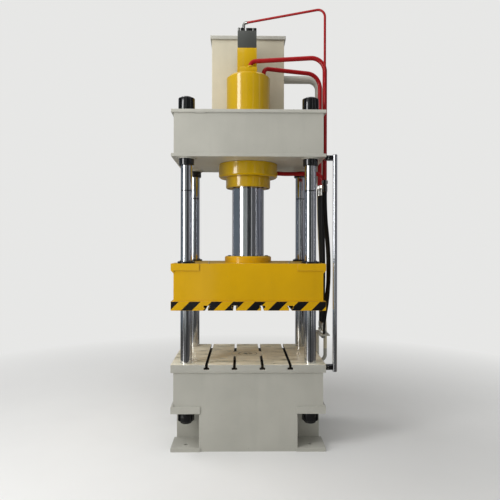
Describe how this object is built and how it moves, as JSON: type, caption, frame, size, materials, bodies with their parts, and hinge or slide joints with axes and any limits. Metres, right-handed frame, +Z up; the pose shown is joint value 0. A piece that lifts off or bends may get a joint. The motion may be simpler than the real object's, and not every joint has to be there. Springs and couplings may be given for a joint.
{
  "type": "hydraulic press",
  "caption": "Column-guided hydraulic press with a slotted table, a yellow slider and cylinder, red pipes and a light grey frame",
  "frame": {"origin": "on the floor, at the centre of the four columns and under the ram's axis", "axes": "+X to the right of the operator, +Y from the operator to the back, +Z up along the ram"},
  "size_m": [1.387, 1.05, 3.6501],
  "materials": {
    "frame_paint": "semi-gloss warm light grey enamel",
    "yellow_paint": "glossy machine yellow enamel",
    "red_paint": "glossy red enamel on pipe",
    "chrome": "hard chrome, ground and polished",
    "ground_steel": "ground steel with an oily film",
    "black_steel": "blackened steel, oiled",
    "grey_block": "dark grey phosphated block",
    "zinc_steel": "bright zinc plate",
    "black_rubber": "matt black hose cover",
    "cream_hose": "cream hose cover"
  },
  "bodies": {
    "frame": {"bed": "frame_paint", "crown": "frame_paint", "oil_tank": "frame_paint", "tank_lid": "frame_paint", "tank_pipe": "frame_paint", "return_reducer": "frame_paint", "return_stub": "frame_paint", "hose_bracket": "frame_paint", "cylinder_body": "yellow_paint", "gland_ring": "yellow_paint", "prefill_valve_body": "yellow_paint", "prefill_pipe": "yellow_paint", "pipe_front": "red_paint", "pipe_rear": "red_paint", "pipe_lower": "red_paint", "pilot_pipe": "red_paint", "column_front_left": "chrome", "column_front_right": "chrome", "column_rear_left": "chrome", "column_rear_right": "chrome", "side_bar": "chrome", "table_plate": "ground_steel", "upper_nut_front_left": "black_steel", "upper_nut_front_right": "black_steel", "upper_nut_rear_left": "black_steel", "upper_nut_rear_right": "black_steel", "lower_nut_front_left": "black_steel", "lower_nut_front_right": "black_steel", "lower_nut_rear_left": "black_steel", "lower_nut_rear_right": "black_steel", "collar_front_left": "black_steel", "collar_front_right": "black_steel", "collar_rear_left": "black_steel", "collar_rear_right": "black_steel", "ejector_cylinder": "black_steel", "pilot_cover": "black_steel", "bar_bracket_upper": "black_steel", "bar_bracket_lower": "black_steel", "pilot_block": "grey_block", "pilot_elbow": "zinc_steel", "fitting_top_front": "zinc_steel", "fitting_top_lower": "zinc_steel", "fitting_top_rear": "zinc_steel", "fitting_low_front": "zinc_steel", "fitting_low_lower": "zinc_steel", "fitting_low_rear": "zinc_steel", "hose_front": "black_rubber", "hose_lower": "black_rubber", "hose_rear": "black_rubber", "pilot_hose": "black_rubber", "return_hose": "cream_hose"},
    "slide": {"slider": "yellow_paint", "slider_platen": "yellow_paint", "guide_sleeve_front_left": "black_steel", "guide_sleeve_front_right": "black_steel", "guide_sleeve_rear_left": "black_steel", "guide_sleeve_rear_right": "black_steel", "ram": "chrome", "ram_flange": "yellow_paint"},
    "ejector_rod": {"ejector": "ground_steel"}
  },
  "joints": [
    {"name": "slider_slide", "type": "slide", "parent": "frame", "child": "slide", "axis": [0, 0, 1], "range_m": [-0.125, 0.585]},
    {"name": "ejector_slide", "type": "slide", "parent": "frame", "child": "ejector_rod", "axis": [0, 0, 1], "range_m": [0, 0.2]}
  ]
}
